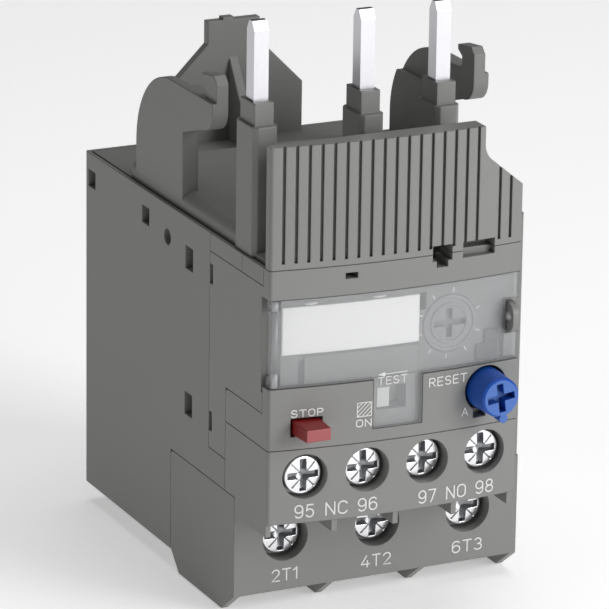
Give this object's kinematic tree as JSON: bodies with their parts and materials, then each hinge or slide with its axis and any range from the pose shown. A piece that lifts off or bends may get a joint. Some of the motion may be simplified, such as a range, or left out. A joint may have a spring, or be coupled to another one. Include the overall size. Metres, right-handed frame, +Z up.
{
  "type": "thermal overload relay",
  "caption": "Thermal overload relay for a motor starter: plug-in pins and hooks on top, setting dial under a clear cover, stop, test and reset controls, screw terminals below.",
  "frame": {"origin": "bottom centre of the bounding box, on the surface that the feet stand on", "axes": "+X to the right as seen from the front, +Y to the rear, +Z up towards the contactor pins"},
  "size_m": [0.045, 0.0702, 0.0874],
  "materials": {
    "casing_dark": "fine moulded texture, dark warm grey",
    "casing_light": "fine moulded texture, mid grey",
    "window_clear": "clear moulded plastic",
    "label_white": "blank write-on label",
    "dial_grey": "light grey moulded plastic",
    "button_red": "red moulded plastic",
    "knob_blue": "blue moulded plastic",
    "slider_white": "white moulded plastic",
    "plunger_plastic": "dark moulded plastic",
    "screw_steel": "nickel-plated steel",
    "clamp_steel": "zinc-plated steel",
    "pin_copper": "silver-plated copper",
    "bar_copper": "tin-plated copper alloy",
    "bimetal": "bimetal strip, bright rolled",
    "heater": "resistance alloy in insulating sleeve",
    "spring_steel": "spring wire",
    "mechanism_plastic": "natural moulded plastic",
    "contact_metal": "silver-tipped bronze"
  },
  "bodies": {
    "casing": {"rear_housing": "casing_dark", "top_housing": "casing_light", "ribbed_cover": "casing_light", "front_housing": "casing_light", "control_panel": "casing_light", "aux_terminal_block": "casing_light", "main_terminal_block": "casing_dark", "label_plate": "label_white", "contact_pin_1": "pin_copper", "contact_pin_2": "pin_copper", "contact_pin_3": "pin_copper", "load_terminal_1": "bar_copper", "load_terminal_2": "bar_copper", "load_terminal_3": "bar_copper", "aux_terminal_95": "bar_copper", "aux_terminal_96": "bar_copper", "aux_terminal_97": "bar_copper", "aux_terminal_98": "bar_copper", "lever_pin": "screw_steel", "stop_spring": "spring_steel", "reset_spring": "spring_steel"},
    "window": {"window_cover": "window_clear"},
    "dial": {"setting_dial": "dial_grey"},
    "stop": {"stop_button": "button_red"},
    "plunger": {"reset_plunger": "plunger_plastic"},
    "knob": {"reset_knob": "knob_blue"},
    "test": {"test_slider": "slider_white"},
    "trip_bar": {"trip_slide": "mechanism_plastic"},
    "lever": {"trip_lever": "mechanism_plastic"},
    "contacts": {"contact_rail": "mechanism_plastic", "nc_bridge": "contact_metal", "no_bridge": "contact_metal"},
    "bimetal_1": {"bimetal_strip_1": "bimetal", "heater_winding_1": "heater"},
    "bimetal_2": {"bimetal_strip_2": "bimetal", "heater_winding_2": "heater"},
    "bimetal_3": {"bimetal_strip_3": "bimetal", "heater_winding_3": "heater"},
    "main_screw_1": {"main_screw_1": "screw_steel"},
    "main_clamp_1": {"main_clamp_1": "clamp_steel"},
    "main_screw_2": {"main_screw_2": "screw_steel"},
    "main_clamp_2": {"main_clamp_2": "clamp_steel"},
    "main_screw_3": {"main_screw_3": "screw_steel"},
    "main_clamp_3": {"main_clamp_3": "clamp_steel"},
    "signal_clamp_95": {"aux_clamp_95": "clamp_steel"},
    "signal_screw_95": {"aux_screw_95": "screw_steel"},
    "signal_clamp_96": {"aux_clamp_96": "clamp_steel"},
    "signal_screw_96": {"aux_screw_96": "screw_steel"},
    "signal_clamp_97": {"aux_clamp_97": "clamp_steel"},
    "signal_screw_97": {"aux_screw_97": "screw_steel"},
    "signal_clamp_98": {"aux_clamp_98": "clamp_steel"},
    "signal_screw_98": {"aux_screw_98": "screw_steel"}
  },
  "joints": [
    {"name": "window_hinge", "type": "hinge", "parent": "casing", "child": "window", "pos_m": [-0.02135, -0.02795, 0.0438], "axis": [0, 0, -1], "range_deg": [0, 110]},
    {"name": "dial_turn", "type": "hinge", "parent": "casing", "child": "dial", "pos_m": [0.0049, -0.02745, 0.0438], "axis": [0, 1, 0], "range_deg": [-110, 110]},
    {"name": "test_slide", "type": "slide", "parent": "casing", "child": "test", "axis": [1, 0, 0], "range_m": [0, 0.0021], "stiffness_N_per_m": 200, "springref_m": -0.001},
    {"name": "stop_press", "type": "slide", "parent": "casing", "child": "stop", "axis": [0, 1, 0], "range_m": [0, 0.002], "stiffness_N_per_m": 600, "springref_m": -0.002, "deforming": ["stop_spring"]},
    {"name": "reset_press", "type": "slide", "parent": "casing", "child": "plunger", "axis": [0, 1, 0], "range_m": [0, 0.0025], "stiffness_N_per_m": 600, "springref_m": -0.002, "deforming": ["reset_spring"]},
    {"name": "reset_turn", "type": "hinge", "parent": "plunger", "child": "knob", "pos_m": [0.0104, -0.03195, 0.03375], "axis": [0, 1, 0], "range_deg": [0, 60]},
    {"name": "trip_travel", "type": "slide", "parent": "casing", "child": "trip_bar", "axis": [1, 0, 0], "range_m": [0, 0.0012], "stiffness_N_per_m": 500, "springref_m": -0.0005},
    {"name": "lever_turn", "type": "hinge", "parent": "casing", "child": "lever", "pos_m": [0.01855, 0.00905, 0.0467], "axis": [0, 0, -1], "range_deg": [0, 6.6]},
    {"name": "contact_travel", "type": "slide", "parent": "casing", "child": "contacts", "axis": [-1, 0, 0], "range_m": [0, 0.0011]},
    {"name": "bimetal_bend_1", "type": "hinge", "parent": "casing", "child": "bimetal_1", "pos_m": [-0.0145, 0.01485, 0.0163], "axis": [0, 1, 0], "range_deg": [0, 2.3]},
    {"name": "bimetal_bend_2", "type": "hinge", "parent": "casing", "child": "bimetal_2", "pos_m": [0, 0.01485, 0.0163], "axis": [0, 1, 0], "range_deg": [0, 2.3]},
    {"name": "bimetal_bend_3", "type": "hinge", "parent": "casing", "child": "bimetal_3", "pos_m": [0.0145, 0.01485, 0.0163], "axis": [0, 1, 0], "range_deg": [0, 2.3]},
    {"name": "main_clamp_travel_1", "type": "slide", "parent": "casing", "child": "main_clamp_1", "axis": [0, -1, 0], "range_m": [0, 0.0042]},
    {"name": "main_screw_turn_1", "type": "hinge", "parent": "casing", "child": "main_screw_1", "pos_m": [-0.0145, -0.01595, 0.0109], "axis": [0, 1, 0], "range_deg": [0, 2161]},
    {"name": "main_clamp_travel_2", "type": "slide", "parent": "casing", "child": "main_clamp_2", "axis": [0, -1, 0], "range_m": [0, 0.0042]},
    {"name": "main_screw_turn_2", "type": "hinge", "parent": "casing", "child": "main_screw_2", "pos_m": [0, -0.01595, 0.0109], "axis": [0, 1, 0], "range_deg": [0, 2161]},
    {"name": "main_clamp_travel_3", "type": "slide", "parent": "casing", "child": "main_clamp_3", "axis": [0, -1, 0], "range_m": [0, 0.0042]},
    {"name": "main_screw_turn_3", "type": "hinge", "parent": "casing", "child": "main_screw_3", "pos_m": [0.0145, -0.01595, 0.0109], "axis": [0, 1, 0], "range_deg": [0, 2161]},
    {"name": "signal_clamp_travel_95", "type": "slide", "parent": "casing", "child": "signal_clamp_95", "axis": [0, 1, 0], "range_m": [0, 0.0035]},
    {"name": "signal_screw_turn_95", "type": "hinge", "parent": "signal_clamp_95", "child": "signal_screw_95", "pos_m": [-0.01717, -0.02795, 0.02435], "axis": [0, 1, 0], "range_deg": [0, 2521]},
    {"name": "signal_clamp_travel_96", "type": "slide", "parent": "casing", "child": "signal_clamp_96", "axis": [0, 1, 0], "range_m": [0, 0.0035]},
    {"name": "signal_screw_turn_96", "type": "hinge", "parent": "signal_clamp_96", "child": "signal_screw_96", "pos_m": [-0.00798, -0.02795, 0.02435], "axis": [0, 1, 0], "range_deg": [0, 2521]},
    {"name": "signal_clamp_travel_97", "type": "slide", "parent": "casing", "child": "signal_clamp_97", "axis": [0, 1, 0], "range_m": [0, 0.0035]},
    {"name": "signal_screw_turn_97", "type": "hinge", "parent": "signal_clamp_97", "child": "signal_screw_97", "pos_m": [0.00121, -0.02795, 0.02435], "axis": [0, 1, 0], "range_deg": [0, 2521]},
    {"name": "signal_clamp_travel_98", "type": "slide", "parent": "casing", "child": "signal_clamp_98", "axis": [0, 1, 0], "range_m": [0, 0.0035]},
    {"name": "signal_screw_turn_98", "type": "hinge", "parent": "signal_clamp_98", "child": "signal_screw_98", "pos_m": [0.0104, -0.02795, 0.02435], "axis": [0, 1, 0], "range_deg": [0, 2521]}
  ],
  "couplings": [
    {"joint": "lever_turn", "follows": "trip_travel", "rad_per_m": 95.238},
    {"joint": "contact_travel", "follows": "trip_travel", "ratio": 0.9},
    {"joint": "bimetal_bend_1", "follows": "trip_travel", "rad_per_m": 32.7},
    {"joint": "bimetal_bend_2", "follows": "trip_travel", "rad_per_m": 32.7},
    {"joint": "bimetal_bend_3", "follows": "trip_travel", "rad_per_m": 32.7},
    {"joint": "main_screw_turn_1", "follows": "main_clamp_travel_1", "rad_per_m": 8976},
    {"joint": "main_screw_turn_2", "follows": "main_clamp_travel_2", "rad_per_m": 8976},
    {"joint": "main_screw_turn_3", "follows": "main_clamp_travel_3", "rad_per_m": 8976},
    {"joint": "signal_screw_turn_95", "follows": "signal_clamp_travel_95", "rad_per_m": 12566},
    {"joint": "signal_screw_turn_96", "follows": "signal_clamp_travel_96", "rad_per_m": 12566},
    {"joint": "signal_screw_turn_97", "follows": "signal_clamp_travel_97", "rad_per_m": 12566},
    {"joint": "signal_screw_turn_98", "follows": "signal_clamp_travel_98", "rad_per_m": 12566}
  ]
}
